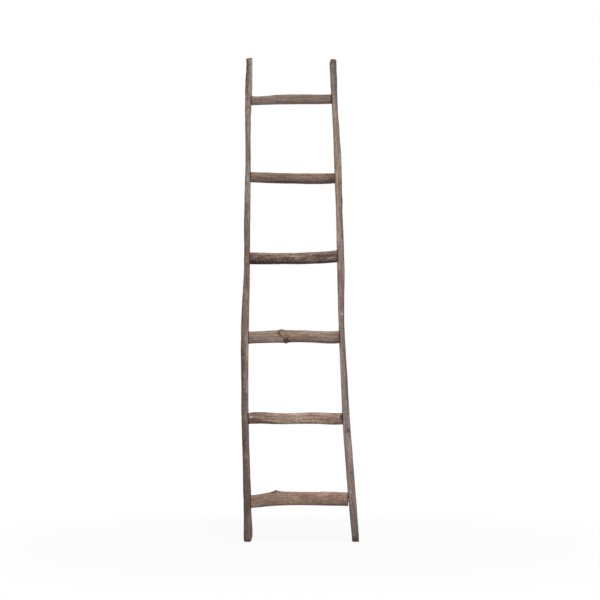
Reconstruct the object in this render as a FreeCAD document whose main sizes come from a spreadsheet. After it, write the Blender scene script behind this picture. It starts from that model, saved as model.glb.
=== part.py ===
import FreeCAD, Part
import Sketcher
import math
import os
from collections import namedtuple

# Rustic branch ladder: two peeled poles and six rungs, each rung let into the poles and nailed through them.
# Millimetres, +Z up, +X to the right seen from the front, origin on the floor below the middle.
# A level says how high a place is: -1 is the floor, 0 the lowest rung, 5 the top rung, 6 the tips.

RUNGS = 6
TOP_LEVEL = RUNGS - 1
FLOOR_LEVEL = -1
TIP_LEVEL = TOP_LEVEL + 1
SIDES = {"left": -1, "right": 1}

# Driving dimensions: alias, value, what it measures
SIZES = (
    ("foot_height", 157, "floor to the middle of the lowest rung"),
    ("rung_pitch", 302, "rung to rung"),
    ("tip_height", 160, "top rung to the middle of the sawn tips"),
    ("left_foot_out", 193, "middle of the ladder to the left rail at the floor"),
    ("left_tip_out", 194, "middle of the ladder to the left rail at the tip"),
    ("right_foot_out", 207, "middle of the ladder to the right rail at the floor"),
    ("right_tip_out", 127, "middle of the ladder to the right rail at the tip"),
    ("rail_width", 26, "rail seen from the front"),
    ("rail_depth", 31, "rail front to back"),
    ("rail_sway", 14, "how far a rail bends sideways off its straight line"),
    ("rail_bow", 3, "how far a rail bends to the front or back"),
    ("rung_height", 42, "rung from top to underside"),
    ("rung_depth", 30, "rung front to back"),
    ("rung_rise", 5, "how far a rung wanders up or down"),
    ("seat_depth", 1.6, "how far the end of a rung is let into a rail"),
    ("seat_clearance", 0.2, "gap above and below the end of a rung in its seat"),
    ("chip_width", 5, "corner broken off a sawn end, across the rail"),
    ("chip_height", 14, "corner broken off a sawn end, along the rail"),
    ("collar_stand", 5.8, "how far the knot collar stands out of its rung, up and down"),
    ("collar_swell", 3, "how far the knot collar stands out of its rung, front and back"),
    ("collar_thickness", 18, "knot collar along its rung"),
    ("stub_stand", 4, "how far the branch stub stands out of its rung"),
    ("stub_root", 26, "branch stub across its root"),
    ("stub_top", 16, "branch stub across its sawn top"),
    ("nail_length", 80, "nail below its head"),
    ("nail_shank", 3.4, "nail across its shank"),
    ("nail_point", 7, "tapered end of a nail"),
    ("nail_head", 7.6, "nail across its head"),
    ("nail_face", 4.6, "flat middle of a nail head"),
    ("nail_crown", 0.7, "slope of a nail head, from its rim to its flat middle"),
    ("nail_rim", 0.9, "nail head at its rim"),
    ("nail_sink", 2.2, "underside of a nail head below the side of the rail"),
    ("nail_spacing", 16, "nail to nail in one joint, up the rail"),
    ("nail_stagger", 6, "nail to nail in one joint, front to back"),
    ("nail_clearance", 0.05, "gap round a nail in its hole"),
    ("cut_overrun", 10, "how far a cutter runs past the wood"),
)

# Roundness of the sections: corner radius as a share of the smaller side
RAIL_ROUND_SHARE = 0.38
RUNG_ROUND_SHARE = 0.34

# Stations along the branches. All but the level and the place along a rung are shares of the sheet's
# sizes: rail_sway, rail_width, rail_depth and rail_bow, or rung_rise, rung_height and rung_depth.
RailStation = namedtuple("RailStation", "level sway width depth bow")
RungStation = namedtuple("RungStation", "place rise height depth")

RAIL_SHARES = {
    "left": (
        RailStation(-1, 0.0, 1.17, 1.05, 0.0),
        RailStation(-0.85, 0.0, 1.26, 1.06, 0.0),
        RailStation(-0.4, 0.12, 1.13, 1.02, 0.1),
        RailStation(0, 0.27, 1.12, 1.02, 0.3),
        RailStation(0.5, 0.58, 1.02, 1.0, 0.5),
        RailStation(1, 0.92, 1.04, 1.0, 0.4),
        RailStation(1.45, 1.02, 1.04, 1.03, 0.1),
        RailStation(2, 1.02, 1.14, 1.05, -0.3),
        RailStation(2.3, 0.9, 1.12, 1.03, -0.5),
        RailStation(2.7, 0.58, 0.94, 0.95, -0.6),
        RailStation(3, 0.48, 0.86, 0.92, -0.5),
        RailStation(3.5, 0.48, 0.9, 0.94, 0.0),
        RailStation(4, 0.28, 0.84, 0.92, 0.5),
        RailStation(4.4, 0.28, 0.75, 0.88, 0.7),
        RailStation(5, 0.24, 1.0, 0.95, 0.5),
        RailStation(5.35, 0.12, 1.02, 0.95, 0.3),
        RailStation(6, 0.0, 0.93, 0.9, 0.0),
    ),
    "right": (
        RailStation(-1, 0.0, 0.97, 0.98, 0.0),
        RailStation(-0.5, -0.15, 1.07, 1.0, -0.1),
        RailStation(0, -0.36, 1.1, 1.03, -0.3),
        RailStation(0.5, -0.75, 1.14, 1.05, -0.5),
        RailStation(1, -1.03, 1.06, 1.02, -0.5),
        RailStation(1.5, -1.1, 0.97, 0.97, -0.2),
        RailStation(2, -1.11, 0.87, 0.92, 0.2),
        RailStation(2.4, -0.96, 0.9, 0.93, 0.5),
        RailStation(2.75, -0.6, 1.07, 1.0, 0.6),
        RailStation(3, -0.49, 1.08, 1.02, 0.5),
        RailStation(3.55, -0.32, 0.97, 0.97, 0.1),
        RailStation(4, -0.14, 1.06, 1.0, -0.3),
        RailStation(4.25, -0.03, 1.1, 1.02, -0.5),
        RailStation(4.75, -0.16, 0.85, 0.9, -0.4),
        RailStation(5, -0.18, 0.88, 0.9, -0.2),
        RailStation(5.6, -0.12, 1.02, 0.95, 0.0),
        RailStation(6, 0.0, 0.95, 0.9, 0.0),
    ),
}

# Rungs from the lowest up, each from its left end to its right end
RUNG_SHARES = (
    (
        RungStation(0, -2.0, 1.13, 0.95),
        RungStation(0.12, -1.0, 1.17, 1.0),
        RungStation(0.25, 0.1, 1.23, 1.05),
        RungStation(0.37, 0.36, 1.2, 1.02),
        RungStation(0.52, 0.32, 1.18, 1.0),
        RungStation(0.77, 0.2, 1.22, 1.0),
        RungStation(1, -0.2, 1.21, 0.97),
    ),
    (
        RungStation(0, -0.7, 1.0, 0.95),
        RungStation(0.26, -0.56, 1.0, 0.98),
        RungStation(0.36, -0.78, 0.96, 0.96),
        RungStation(0.55, -0.5, 1.0, 1.0),
        RungStation(0.69, -0.22, 1.045, 1.02),
        RungStation(0.88, -0.86, 1.045, 1.0),
        RungStation(1, -0.66, 1.045, 0.97),
    ),
    (
        RungStation(0, -0.36, 1.13, 0.97),
        RungStation(0.16, 0.16, 1.1, 1.0),
        RungStation(0.32, 0.5, 1.12, 1.03),
        RungStation(0.5, 0.72, 1.095, 1.0),
        RungStation(0.72, 0.36, 1.075, 0.98),
        RungStation(1, 0.12, 1.095, 0.97),
    ),
    (
        RungStation(0, -0.56, 1.06, 0.95),
        RungStation(0.22, -0.92, 1.03, 0.98),
        RungStation(0.45, -0.88, 1.015, 1.0),
        RungStation(0.7, -0.4, 1.06, 1.02),
        RungStation(0.87, 0.22, 1.06, 0.98),
        RungStation(1, 1.06, 1.12, 0.95),
    ),
    (
        RungStation(0, 0.96, 0.9, 0.9),
        RungStation(0.22, 0.38, 0.935, 0.94),
        RungStation(0.5, -0.1, 0.93, 0.96),
        RungStation(0.8, -0.34, 0.945, 0.94),
        RungStation(1, 0.0, 0.905, 0.9),
    ),
    (
        RungStation(0, -0.38, 0.83, 0.86),
        RungStation(0.2, -0.22, 0.79, 0.86),
        RungStation(0.33, 0.2, 0.845, 0.9),
        RungStation(0.62, 0.52, 0.865, 0.92),
        RungStation(0.8, 0.5, 0.835, 0.88),
        RungStation(1, 0.68, 0.833, 0.86),
    ),
)

# Growth on the rungs, from the lowest up, with the lean of each kind in degrees
RUNG_GROWTH = ("stub", None, "collar", None, None, None)
GROWTH_LEAN = {"collar": -24, "stub": -24}
GROWTH_SHARES = {
    "collar": RungStation(0.39, 0.74, 1.11, 1.03),
    "stub": RungStation(0.28, 0.1, 1.23, 1.05),
}

# Slant of the sawn tips, in degrees
TIP_SLANT = {"left": -10, "right": 5}

# A chipped corner at the left foot and one at the right tip, both on the inner side of the rail.
# The chip's triangle is in shares of chip_width and chip_height, measured from the corner.
CHIPPED_LEVEL = {"left": FLOOR_LEVEL, "right": TIP_LEVEL}
CHIP_SHARES = ((-2, -1), (1, 2), (1, -1))

# How deep each rung is let in, as shares of seat_depth, from the lowest rung up. The lowest rung's right
# end is cut square against a leaning rail, so only its top corner is let in and the rest stands off.
SEAT_SHARES = {
    "left": (1.0, 1.0, 1.0, 1.0, 1.0, 1.0),
    "right": (0.35, 1.0, 1.0, 1.0, 1.0, 1.0),
}
CORNER_SEAT = ("right", 0)

# Two nails to a joint: up the rail and front to back, as shares of nail_spacing and nail_stagger
NAIL_SHARES = ((0.5, -0.5), (-0.5, 0.5))

HALF_TURN = 180
FULL_TURN = 360
UP = FreeCAD.Vector(0, 0, 1)
BACK = FreeCAD.Vector(0, 1, 0)

doc = FreeCAD.newDocument("branch_ladder")
sheet = doc.addObject("Spreadsheet::Sheet", "Sizes")
for row, (alias, value, meaning) in enumerate(SIZES, start=1):
    sheet.set(f"A{row}", meaning)
    sheet.set(f"B{row}", str(value))
    sheet.setAlias(f"B{row}", alias)
doc.recompute()


# Places that several pieces share, as expressions on the sheet

def height(level):
    if level < 0:
        return f"(Sizes.foot_height * {level - FLOOR_LEVEL:g})"
    if level <= TOP_LEVEL:
        return f"(Sizes.foot_height + Sizes.rung_pitch * {level:g})"
    top_rung = f"Sizes.foot_height + Sizes.rung_pitch * {TOP_LEVEL}"
    return f"({top_rung} + Sizes.tip_height * {level - TOP_LEVEL:g})"


def rail_station(side, level):
    return next(station for station in RAIL_SHARES[side] if station.level == level)


def rail_out(side, level, across=0):
    """Distance from the middle of the ladder to a rail's axis, or to a share of its width beside the axis."""
    station = rail_station(side, level)
    lean = f"(Sizes.{side}_tip_out - Sizes.{side}_foot_out) * {height(level)} / {height(TIP_LEVEL)}"
    bend = f"Sizes.rail_sway * {station.sway:g} + Sizes.rail_width * {station.width * across:g}"
    return f"(Sizes.{side}_foot_out + {lean} + {bend})"


def rail_y(side, level):
    return f"(Sizes.rail_bow * {rail_station(side, level).bow:g})"


def rung_end(side, rung):
    return RUNG_SHARES[rung][0 if side == "left" else -1]


def seat_x(side, rung):
    inner_side = rail_out(side, rung, across=-0.5)
    if (side, rung) == CORNER_SEAT:
        above = next(station.level for station in RAIL_SHARES[side] if station.level > rung)
        corner_rise = f"Sizes.rung_height * {rung_end(side, rung).height / 2:g}"
        lean = f"({rail_out(side, above, across=-0.5)} - {inner_side}) / ({height(above)} - {height(rung)})"
        inner_side = f"({inner_side} + {lean} * {corner_rise})"
    return f"({SIDES[side]} * ({inner_side} + Sizes.seat_depth * {SEAT_SHARES[side][rung]:g}))"


def nail_x(side, rung):
    outer_side = rail_out(side, rung, across=0.5)
    return f"({SIDES[side]} * ({outer_side} - Sizes.nail_sink))"


def rung_axis(rung, station):
    """X, Y and Z of a rung's axis at a station."""
    left, right = 1 - station.place, station.place
    x = f"({seat_x('left', rung)} * {left:g} + {seat_x('right', rung)} * {right:g})"
    y = f"({rail_y('left', rung)} * {left:g} + {rail_y('right', rung)} * {right:g})"
    return x, y, f"({height(rung)} + Sizes.rung_rise * {station.rise:g})"


# Building blocks

def measure(expression):
    return float(sheet.evalExpression(expression))


def bind(target, expressions):
    for path, expression in expressions.items():
        target.setExpression(path, expression)


def attach(feature, body, plane, place=("0", "0", "0"), turn=FreeCAD.Rotation()):
    origin_plane = next(f for f in body.Origin.OriginFeatures if f.Role == plane)
    feature.AttachmentSupport = [(origin_plane, "")]
    feature.MapMode = "FlatFace"
    feature.AttachmentOffset = FreeCAD.Placement(FreeCAD.Vector(), turn)
    bind(feature, {f"AttachmentOffset.Base.{axis}": value for axis, value in zip("xyz", place)})


def constrain(sketch, relations, sizes):
    """Add plain relations, then named sizes, each a name, a constraint and the expression that drives it."""
    constraints = [Sketcher.Constraint(*relation) for relation in relations]
    constraints += [Sketcher.Constraint(*constraint) for name, constraint, expression in sizes]
    sketch.addConstraint(constraints)
    for i, (name, constraint, expression) in enumerate(sizes, start=len(relations)):
        sketch.renameConstraint(i, name)
        sketch.setExpression(f"Constraints.{name}", expression)


def straight_outline(sketch, corners):
    """Closed outline of straight edges, each corner a pair of expressions."""
    points = [FreeCAD.Vector(measure(x), measure(y), 0) for x, y in corners]
    count = len(points)
    sketch.addGeometry([Part.LineSegment(points[i - 1], points[i]) for i in range(count)])
    relations = [("Coincident", i, 2, (i + 1) % count, 1) for i in range(count)]
    sizes = []
    for i, (x, y) in enumerate(corners):
        sizes.append((f"corner{i}x", ("DistanceX", -1, 1, i, 2, points[i].x), x))
        sizes.append((f"corner{i}y", ("DistanceY", -1, 1, i, 2, points[i].y), y))
    constrain(sketch, relations, sizes)


def round_outline(sketch, wide, deep, round_share):
    """Section of a peeled branch: a rectangle with round corners, centred on the sketch."""
    half_wide = measure(wide) / 2
    half_deep = measure(deep) / 2
    radius = round_share * 2 * min(half_wide, half_deep)
    quarter = math.pi / 2
    arcs = []
    for i, (side, end) in enumerate(((1, -1), (1, 1), (-1, 1), (-1, -1))):
        centre = FreeCAD.Vector(side * (half_wide - radius), end * (half_deep - radius), 0)
        arcs.append(Part.ArcOfCircle(Part.Circle(centre, UP, radius), (i - 1) * quarter, i * quarter))
    count = len(arcs)
    lines = [Part.LineSegment(arcs[i].EndPoint, arcs[(i + 1) % count].StartPoint) for i in range(count)]
    sketch.addGeometry(arcs + lines)
    relations = [("Symmetric", 0, 3, 2, 3, -1, 1)]
    relations += [("Equal", 0, i) for i in range(1, count)]
    for i in range(count):
        relations.append(("Tangent", i, 2, count + i, 1))
        relations.append(("Tangent", count + i, 2, (i + 1) % count, 1))
        relations.append(("Horizontal" if i % 2 else "Vertical", count + i))
    right, top, left, bottom = range(count, 2 * count)
    constrain(sketch, relations, (
        ("wide", ("DistanceX", left, 1, right, 2, 2 * half_wide), wide),
        ("deep", ("DistanceY", bottom, 1, top, 2, 2 * half_deep), deep),
        ("corner", ("Radius", 0, radius), f"{round_share} * min({wide}; {deep})"),
    ))


def loft(body, sections):
    branch = body.newObject("PartDesign::AdditiveLoft", f"{body.Name}_loft")
    branch.Profile = sections[0]
    branch.Sections = sections[1:]


def group(name, members):
    compound = doc.addObject("Part::Compound", name)
    compound.Links = members
    return compound


def cut(name, base, tool):
    piece = doc.addObject("Part::Cut", name)
    piece.Base = base
    piece.Tool = tool
    return piece


# Rails

def chip_corner(body, side):
    """Triangle through the rail, from front to back, that takes a corner off one sawn end."""
    level = CHIPPED_LEVEL[side]
    corner_x = f"{SIDES[side]} * {rail_out(side, level, across=-0.5)}"
    inward = 1 if level == FLOOR_LEVEL else -1
    corners = []
    for out, along in CHIP_SHARES:
        x = f"{corner_x} + Sizes.chip_width * {-SIDES[side] * out}"
        z = f"{height(level)} + Sizes.chip_height * {inward * along}"
        corners.append((x, z))
    sketch = body.newObject("Sketcher::SketchObject", f"{side}_chip_outline")
    attach(sketch, body, "XZ_Plane")
    straight_outline(sketch, corners)
    chip = body.newObject("PartDesign::Pocket", f"{side}_chip")
    chip.Profile = sketch
    chip.Midplane = True
    bind(chip, {"Length": "2 * (Sizes.rail_depth + Sizes.rail_bow + Sizes.cut_overrun)"})


def pole(side):
    body = doc.addObject("PartDesign::Body", f"{side}_pole")
    sections = []
    for station in RAIL_SHARES[side]:
        sketch = body.newObject("Sketcher::SketchObject", f"{side}_pole_section_{len(sections)}")
        slant = TIP_SLANT[side] if station.level == TIP_LEVEL else 0
        x = f"{SIDES[side]} * {rail_out(side, station.level)}"
        place = (x, rail_y(side, station.level), height(station.level))
        attach(sketch, body, "XY_Plane", place, FreeCAD.Rotation(BACK, slant))
        wide = f"Sizes.rail_width * {station.width}"
        deep = f"Sizes.rail_depth * {station.depth}"
        round_outline(sketch, wide, deep, RAIL_ROUND_SHARE)
        sections.append(sketch)
    loft(body, sections)
    chip_corner(body, side)
    return body


def seat_cutter(side, rung):
    """Block that cuts the flat seat of a rung's end into the inner side of a rail."""
    end = rung_end(side, rung)
    x, y, z = rung_axis(rung, end)
    tall = f"(Sizes.rung_height * {end.height:g} + 2 * Sizes.seat_clearance)"
    deep = "(Sizes.rail_depth + 2 * Sizes.cut_overrun)"
    block = doc.addObject("Part::Box", f"{side}_seat_{rung + 1}")
    bind(block, {
        "Length": "Sizes.rail_width",
        "Width": deep,
        "Height": tall,
        "Placement.Base.x": x if side == "left" else f"{x} - Sizes.rail_width",
        "Placement.Base.y": f"{y} - {deep} / 2",
        "Placement.Base.z": f"{z} - {tall} / 2",
    })
    return block


# Nails and their holes

def turned(name, corners):
    """Body turned about X, from the upper half of its outline."""
    body = doc.addObject("PartDesign::Body", name)
    sketch = body.newObject("Sketcher::SketchObject", f"{name}_outline")
    attach(sketch, body, "XZ_Plane")
    straight_outline(sketch, corners)
    turning = body.newObject("PartDesign::Revolution", f"{name}_turning")
    turning.Profile = sketch
    turning.ReferenceAxis = (sketch, ["H_Axis"])
    turning.Angle = FULL_TURN
    return body


def nail_model():
    top = "-(Sizes.nail_rim + Sizes.nail_crown)"
    return turned("nail", (
        (top, "0"),
        (top, "Sizes.nail_face / 2"),
        ("-Sizes.nail_rim", "Sizes.nail_head / 2"),
        ("0", "Sizes.nail_head / 2"),
        ("0", "Sizes.nail_shank / 2"),
        ("Sizes.nail_length - Sizes.nail_point", "Sizes.nail_shank / 2"),
        ("Sizes.nail_length", "0"),
    ))


def nail_hole_model():
    outside = "-(Sizes.nail_sink + Sizes.cut_overrun)"
    head = "Sizes.nail_head / 2 + Sizes.nail_clearance"
    shank = "Sizes.nail_shank / 2 + Sizes.nail_clearance"
    end = "Sizes.nail_length + Sizes.nail_clearance"
    return turned("nail_hole", (
        (outside, "0"),
        (outside, head),
        ("0", head),
        ("0", shank),
        (end, shank),
        (end, "0"),
    ))


def nail_copies(model, side, rung):
    """One copy of the model for each nail of a joint, driven in from the outer side of the rail."""
    inward = FreeCAD.Rotation(UP, 0 if side == "left" else HALF_TURN)
    x, y, z = rung_axis(rung, rung_end(side, rung))
    copies = []
    for up, back in NAIL_SHARES:
        copy = doc.addObject("App::Link", f"{model.Name}_{side}_{rung + 1}_{len(copies) + 1}")
        copy.LinkedObject = model
        copy.Placement = FreeCAD.Placement(FreeCAD.Vector(), inward)
        bind(copy, {
            "Placement.Base.x": nail_x(side, rung),
            "Placement.Base.y": f"{y} + Sizes.nail_stagger * {back:g}",
            "Placement.Base.z": f"{z} + Sizes.nail_spacing * {up:g}",
        })
        copies.append(copy)
    return copies


# Rungs

def branch(rung):
    body = doc.addObject("PartDesign::Body", f"rung_{rung + 1}_branch")
    sections = []
    for station in RUNG_SHARES[rung]:
        sketch = body.newObject("Sketcher::SketchObject", f"rung_{rung + 1}_section_{len(sections)}")
        x, y, z = rung_axis(rung, station)
        attach(sketch, body, "YZ_Plane", (y, z, x))
        tall = f"Sizes.rung_height * {station.height}"
        deep = f"Sizes.rung_depth * {station.depth}"
        round_outline(sketch, deep, tall, RUNG_ROUND_SHARE)
        sections.append(sketch)
    loft(body, sections)
    return body


def add_growth(body, rung):
    """A knot collar, as a thin ellipsoid round the rung, or the root of a side branch sawn off above it."""
    kind = RUNG_GROWTH[rung]
    shape = {"collar": "PartDesign::AdditiveEllipsoid", "stub": "PartDesign::AdditiveCone"}[kind]
    station = GROWTH_SHARES[kind]
    half_height = f"Sizes.rung_height * {station.height / 2:g}"
    half_depth = f"Sizes.rung_depth * {station.depth / 2:g}"
    sizes = {
        "collar": {
            "Radius1": f"{half_height} + Sizes.collar_stand",
            "Radius2": "Sizes.collar_thickness / 2",
            "Radius3": f"{half_depth} + Sizes.collar_swell",
        },
        "stub": {
            "Radius1": "Sizes.stub_root / 2",
            "Radius2": "Sizes.stub_top / 2",
            "Height": f"{half_height} + Sizes.stub_stand",
        },
    }[kind]
    growth = body.newObject(shape, kind)
    attach(growth, body, "XY_Plane", rung_axis(rung, station), FreeCAD.Rotation(BACK, GROWTH_LEAN[kind]))
    bind(growth, sizes)


nail = nail_model()
nail_hole = nail_hole_model()
holes = {(side, rung): nail_copies(nail_hole, side, rung) for side in SIDES for rung in range(RUNGS)}
pieces = []

for side in SIDES:
    seats = group(f"{side}_seats", [seat_cutter(side, rung) for rung in range(RUNGS)])
    seated_pole = cut(f"{side}_seated_pole", pole(side), seats)
    rail_holes = group(f"{side}_rail_holes", [hole for rung in range(RUNGS) for hole in holes[side, rung]])
    pieces.append(cut(f"{side}_rail", seated_pole, rail_holes))

for rung in range(RUNGS):
    rung_branch = branch(rung)
    if RUNG_GROWTH[rung]:
        add_growth(rung_branch, rung)
    rung_holes = group(f"rung_{rung + 1}_holes", holes["left", rung] + holes["right", rung])
    pieces.append(cut(f"rung_{rung + 1}", rung_branch, rung_holes))

for side in SIDES:
    nails = [copy for rung in range(RUNGS) for copy in nail_copies(nail, side, rung)]
    pieces.append(group(f"{side}_nails", nails))

doc.recompute()
failed = [item.Label for item in doc.Objects if {"Invalid", "Error"} & set(item.State)]
failed += [piece.Label for piece in pieces if piece.Shape.isNull() or not piece.Shape.isValid()]
if failed:
    raise RuntimeError("failed: " + ", ".join(failed))

os.makedirs("parts", exist_ok=True)
for piece in pieces:
    piece.Shape.exportStep(f"parts/{piece.Label}.step")
    solids = piece.Shape.Solids
    print(piece.Label, len(solids), "solids", round(sum(solid.Volume for solid in solids)), "mm3")
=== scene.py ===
import math
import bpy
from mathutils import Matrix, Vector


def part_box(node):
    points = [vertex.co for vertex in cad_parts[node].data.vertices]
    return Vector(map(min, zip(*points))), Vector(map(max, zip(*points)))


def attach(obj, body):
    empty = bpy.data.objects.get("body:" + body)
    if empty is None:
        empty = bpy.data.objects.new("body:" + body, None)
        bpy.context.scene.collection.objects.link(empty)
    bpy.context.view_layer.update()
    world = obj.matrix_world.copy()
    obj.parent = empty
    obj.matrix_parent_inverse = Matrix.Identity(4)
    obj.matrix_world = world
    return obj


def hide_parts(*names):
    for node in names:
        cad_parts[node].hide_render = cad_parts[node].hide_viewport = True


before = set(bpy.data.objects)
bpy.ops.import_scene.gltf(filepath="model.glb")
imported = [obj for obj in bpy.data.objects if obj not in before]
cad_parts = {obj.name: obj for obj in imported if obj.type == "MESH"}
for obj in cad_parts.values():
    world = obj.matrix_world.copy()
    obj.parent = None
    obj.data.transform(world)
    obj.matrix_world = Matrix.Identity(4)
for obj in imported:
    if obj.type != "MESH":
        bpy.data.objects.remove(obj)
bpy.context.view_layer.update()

from types import SimpleNamespace
import bpy
import numpy as np
from mathutils import Vector
from mathutils.bvhtree import BVHTree

scene = bpy.context.scene
scene.view_settings.view_transform = "Standard"
print("frame loaded:", len(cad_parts), "nodes")


# A socket that can stand in a sum. node() adds a node to the same tree; shader nodes go by short names.
class Sock:
    def __init__(self, tree, socket=None):
        self.tree, self.socket = tree, socket

    def node(self, kind, inputs=None, out=0, stops=(), **settings):
        made = self.tree.nodes.new(kind if "Node" in kind else "ShaderNode" + kind)
        for key, value in settings.items():
            setattr(made, key, value)
        for number, (place, colour) in enumerate(stops):
            ramp = made.color_ramp.elements
            stop = ramp[number] if number < len(ramp) else ramp.new(place)
            stop.position, stop.color = place, colour
        for key, value in (inputs or {}).items():
            if isinstance(value, Sock):
                self.tree.links.new(value.socket, made.inputs[key])
            else:
                made.inputs[key].default_value = value
        return Sock(self.tree, made.outputs[out] if made.outputs else None)

    def sum(self, operation, first, second):
        return self.node("Math", {0: first, 1: second}, operation=operation)

    def __add__(self, other):
        return self.sum("ADD", self, other)

    def __sub__(self, other):
        return self.sum("SUBTRACT", self, other)

    def __rsub__(self, other):
        return self.sum("SUBTRACT", other, self)

    def __mul__(self, other):
        return self.sum("MULTIPLY", self, other)

    __radd__ = __add__
    __rmul__ = __mul__

    def sine(self):
        return self.node("Math", {0: self}, operation="SINE")

    # 0 below low and 1 above high, or the other way round if low is larger
    def fade(self, low, high):
        sizes = {"Value": self, "From Min": low, "From Max": high}
        return self.node("MapRange", sizes, interpolation_type="SMOOTHSTEP")

    def vector(self, operation, other=(0, 0, 0), out=0):
        return self.node("VectorMath", {0: self, 1: other}, out, operation=operation)

    def scaled(self, size):
        return self.node("VectorMath", {0: self, "Scale": size}, operation="SCALE")

    def joined(self, **parts):
        return self.node("CombineXYZ", parts)

    def noise(self, shift, detail, rough, out=0):
        sizes = {"Vector": self, "W": shift, "Scale": 1, "Detail": detail, "Roughness": rough}
        return self.node("TexNoise", sizes, out, noise_dimensions="4D")

    def walls(self, shift):  # how far off the walls of long cells are
        sizes = {"Vector": self, "W": shift, "Scale": 1}
        return self.node("TexVoronoi", sizes, feature="DISTANCE_TO_EDGE", voronoi_dimensions="4D")

    def mix(self, share, first, second, blend="MIX"):
        return self.node("Mix", {0: share, 6: first, 7: second}, 2, data_type="RGBA", blend_type=blend)

    def dress(self, body):  # ends a material
        self.node("OutputMaterial", {"Surface": self.node("BsdfPrincipled", body)})


# Colours are written as the eye sees them, 0 to 255
def paint(red, green, blue):
    shares = [value / 255 for value in (red, green, blue)]
    return (*[s / 12.92 if s < 0.04045 else ((s + 0.055) / 1.055) ** 2.4 for s in shares], 1)


def newMaterial(name):
    material = bpy.data.materials.new(name)
    material.use_nodes = True
    material.node_tree.nodes.clear()
    return material, Sock(material.node_tree)


def addPiece(name, mesh):
    piece = bpy.data.objects.new(name, mesh)
    scene.collection.objects.link(piece)
    return piece


def facing(direction):
    return direction.to_track_quat("-Z", "Y").to_euler()


view = {"place": (0, -4.986, 0.5265), "aim": (0, 0, 0.9015), "lens": 79.5}

camera = addPiece("camera", bpy.data.cameras.new("camera"))
camera.data.lens = view["lens"]
camera.location = view["place"]
camera.rotation_euler = facing(Vector(view["aim"]) - Vector(view["place"]))
scene.camera = camera


# Soft studio: a wide key from the front and above, a weak low fill from behind
studio = {
    "softKey": {"from": (0.5, -3.0, 4.2), "power": 2.45, "width": 32},
    "backFill": {"from": (-0.6, 3.0, 0.3), "power": 0.9, "width": 40},
    "roundLight": 0.46, "white": (1, 1, 1, 1), "floorReach": 7, "floorPaint": paint(214, 214, 214),
    "floorWhite": 0.86, "whiteFrom": 0.6, "whiteAt": 1.6,  # share of white near by, all white at whiteAt
}

for name in ("softKey", "backFill"):
    lamp = addPiece(name, bpy.data.lights.new(name, "SUN"))
    lamp.data.energy = studio[name]["power"]
    lamp.data.angle = math.radians(studio[name]["width"])
    lamp.rotation_euler = facing(-Vector(studio[name]["from"]))


def seenRays(sock):
    kinds = ("Camera", "Glossy", "Transmission")
    return sum(sock.node("LightPath", out=f"Is {kind} Ray") for kind in kinds)


scene.world = bpy.data.worlds.new("studio")
scene.world.use_nodes = True
scene.world.node_tree.nodes.clear()
sock, white = Sock(scene.world.node_tree), studio["white"]
shine = sock.node("Background", {"Color": white, "Strength": studio["roundLight"]})
behind = sock.node("Background", {"Color": white, "Strength": 1})
both = sock.node("MixShader", {0: seenRays(sock), 1: shine, 2: behind})
sock.node("OutputWorld", {"Surface": both})

# The camera sees the floor nearly white, with a soft shadow near the object
floorMaterial, sock = newMaterial("paleFloor")
near, reach = studio["floorWhite"], studio["floorReach"]
away = sock.node("TexCoord", out="Object").vector("LENGTH", out=1)
whiteShare = away.fade(studio["whiteFrom"], studio["whiteAt"]) * (1 - near) + near
lit = sock.node("BsdfDiffuse", {"Color": studio["floorPaint"]})
glow = sock.node("Emission", {"Color": white, "Strength": 1})
shown = sock.node("MixShader", {0: seenRays(sock) * whiteShare, 1: lit, 2: glow})
sock.node("OutputMaterial", {"Surface": shown})
floorMesh = bpy.data.meshes.new("floor")
floorCorners = [(-reach, -reach, 0), (reach, -reach, 0), (reach, reach, 0), (-reach, reach, 0)]
floorMesh.from_pydata(floorCorners, [], [(0, 1, 2, 3)])
floorMesh.materials.append(floorMaterial)
floor = addPiece("floor", floorMesh)
print("camera, light and floor set")


# Noise on the grain: cells to the metre along and around, detail, shift, roughness
grainNoise = {
    "patch": (6, 30, 3, 0, 0.55),  # broad weathering
    "blush": (9, 44, 3, 2.3, 0.55),  # reddish places
    "band": (7, 95, 4, 3.2, 0.6),  # bands a finger wide
    "line": (3.4, 190, 9, 4.1, 0.74),  # grain lines of every width
    "mottle": (105, 190, 4, 5.3, 0.68),  # blotches a few millimetres wide
    "freckle": (95, 210, 3, 7.7, 0.6),
    "fibre": (34, 1000, 4, 6.7, 0.65),
    "slit": (9, 380, 2, 12.4, 0.5),
    "speck": (190, 420, 2, 8.9, 0.55),
    "check": (6, 120, 1, 41, 0.5),  # drying splits, which the tree below cuts
}
branchPaints = {"deep": (40, 31, 27), "pitch": (27, 21, 18), "stainAndShadePaint": (70, 57, 51), "rust": (84, 49, 33)}
ownPaints = ("grey", "brown", "warm", "dark", "pale", "bare")


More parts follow.
